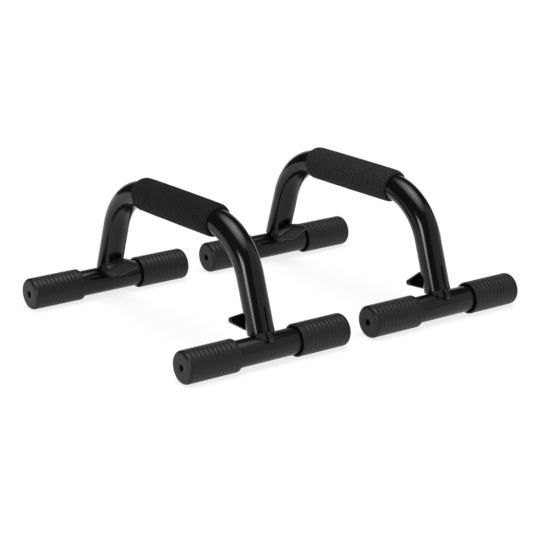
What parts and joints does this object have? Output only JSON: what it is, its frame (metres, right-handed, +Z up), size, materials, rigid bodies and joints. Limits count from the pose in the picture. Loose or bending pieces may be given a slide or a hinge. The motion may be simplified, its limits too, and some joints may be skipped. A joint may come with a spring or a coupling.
{
  "type": "parallette bars",
  "caption": "Pair of black push-up bars: bent steel arches with foam grips on cross feet with ribbed end caps, the feet held on the legs by wing knobs.",
  "frame": {"origin": "on the floor, in the middle of the pair", "axes": "+X along the handles, +Y across from the left bar to the right bar, +Z up"},
  "size_m": [0.2958, 0.3914, 0.1348],
  "materials": {
    "gloss_enamel": "gloss black enamel on steel tube",
    "satin_enamel": "satin black enamel on steel tube",
    "grip_foam": "matt fine-grained closed-cell foam",
    "cap_plastic": "matt soft plastic, ribbed",
    "knob_plastic": "moulded black plastic, satin",
    "zinc_steel": "zinc-plated steel"
  },
  "bodies": {
    "left_bar": {"left_handle_tube": "gloss_enamel", "left_foam_grip": "grip_foam", "left_front_clamp_nut": "gloss_enamel", "left_rear_clamp_nut": "gloss_enamel"},
    "left_front_foot": {"left_front_foot_tube": "satin_enamel", "left_front_spigot": "gloss_enamel", "left_front_locating_key": "gloss_enamel", "left_front_cap_outer": "cap_plastic", "left_front_cap_inner": "cap_plastic"},
    "left_front_stud": {"left_front_clamp_stud": "zinc_steel"},
    "left_front_knob": {"left_front_wing_knob": "knob_plastic"},
    "left_rear_foot": {"left_rear_foot_tube": "satin_enamel", "left_rear_spigot": "gloss_enamel", "left_rear_locating_key": "gloss_enamel", "left_rear_cap_outer": "cap_plastic", "left_rear_cap_inner": "cap_plastic"},
    "left_rear_stud": {"left_rear_clamp_stud": "zinc_steel"},
    "left_rear_knob": {"left_rear_wing_knob": "knob_plastic"},
    "right_bar": {"right_handle_tube": "gloss_enamel", "right_foam_grip": "grip_foam", "right_front_clamp_nut": "gloss_enamel", "right_rear_clamp_nut": "gloss_enamel"},
    "right_front_foot": {"right_front_foot_tube": "satin_enamel", "right_front_spigot": "gloss_enamel", "right_front_locating_key": "gloss_enamel", "right_front_cap_outer": "cap_plastic", "right_front_cap_inner": "cap_plastic"},
    "right_front_stud": {"right_front_clamp_stud": "zinc_steel"},
    "right_front_knob": {"right_front_wing_knob": "knob_plastic"},
    "right_rear_foot": {"right_rear_foot_tube": "satin_enamel", "right_rear_spigot": "gloss_enamel", "right_rear_locating_key": "gloss_enamel", "right_rear_cap_outer": "cap_plastic", "right_rear_cap_inner": "cap_plastic"},
    "right_rear_stud": {"right_rear_clamp_stud": "zinc_steel"},
    "right_rear_knob": {"right_rear_wing_knob": "knob_plastic"}
  },
  "joints": [
    {"name": "left_front_foot_pull", "type": "slide", "parent": "left_front_foot", "child": "left_bar", "axis": [-0.309, 0, 0.9511], "range_m": [0, 0.04]},
    {"name": "left_front_stud_draw", "type": "slide", "parent": "left_bar", "child": "left_front_stud", "axis": [-0.9511, 0, -0.309], "range_m": [0, 0.002]},
    {"name": "left_front_knob_turn", "type": "hinge", "parent": "left_front_stud", "child": "left_front_knob", "pos_m": [0.12449, -0.1057, 0.0399], "axis": [-0.9511, 0, -0.309], "range_deg": [0, 720]},
    {"name": "left_rear_foot_pull", "type": "slide", "parent": "left_bar", "child": "left_rear_foot", "axis": [-0.309, 0, -0.9511], "range_m": [0, 0.04]},
    {"name": "left_rear_stud_draw", "type": "slide", "parent": "left_bar", "child": "left_rear_stud", "axis": [0.9511, 0, -0.309], "range_m": [0, 0.002]},
    {"name": "left_rear_knob_turn", "type": "hinge", "parent": "left_rear_stud", "child": "left_rear_knob", "pos_m": [-0.12449, -0.1057, 0.0399], "axis": [0.9511, 0, -0.309], "range_deg": [0, 720]},
    {"name": "right_front_foot_pull", "type": "slide", "parent": "right_front_foot", "child": "right_bar", "axis": [-0.309, 0, 0.9511], "range_m": [0, 0.04]},
    {"name": "right_front_stud_draw", "type": "slide", "parent": "right_bar", "child": "right_front_stud", "axis": [-0.9511, 0, -0.309], "range_m": [0, 0.002]},
    {"name": "right_front_knob_turn", "type": "hinge", "parent": "right_front_stud", "child": "right_front_knob", "pos_m": [0.12449, 0.1057, 0.0399], "axis": [-0.9511, 0, -0.309], "range_deg": [0, 720]},
    {"name": "right_rear_foot_pull", "type": "slide", "parent": "right_bar", "child": "right_rear_foot", "axis": [-0.309, 0, -0.9511], "range_m": [0, 0.04]},
    {"name": "right_rear_stud_draw", "type": "slide", "parent": "right_bar", "child": "right_rear_stud", "axis": [0.9511, 0, -0.309], "range_m": [0, 0.002]},
    {"name": "right_rear_knob_turn", "type": "hinge", "parent": "right_rear_stud", "child": "right_rear_knob", "pos_m": [-0.12449, 0.1057, 0.0399], "axis": [0.9511, 0, -0.309], "range_deg": [0, 720]},
    {"name": "bar_spacing", "type": "slide", "parent": "left_front_foot", "child": "right_front_foot", "axis": [0, 1, 0], "range_m": [-0.02, 0.4]}
  ],
  "couplings": [
    {"joint": "left_front_stud_draw", "follows": "left_front_knob_turn", "m_per_rad": 0.00015915},
    {"joint": "left_rear_stud_draw", "follows": "left_rear_knob_turn", "m_per_rad": 0.00015915},
    {"joint": "right_front_stud_draw", "follows": "right_front_knob_turn", "m_per_rad": 0.00015915},
    {"joint": "right_rear_stud_draw", "follows": "right_rear_knob_turn", "m_per_rad": 0.00015915}
  ]
}
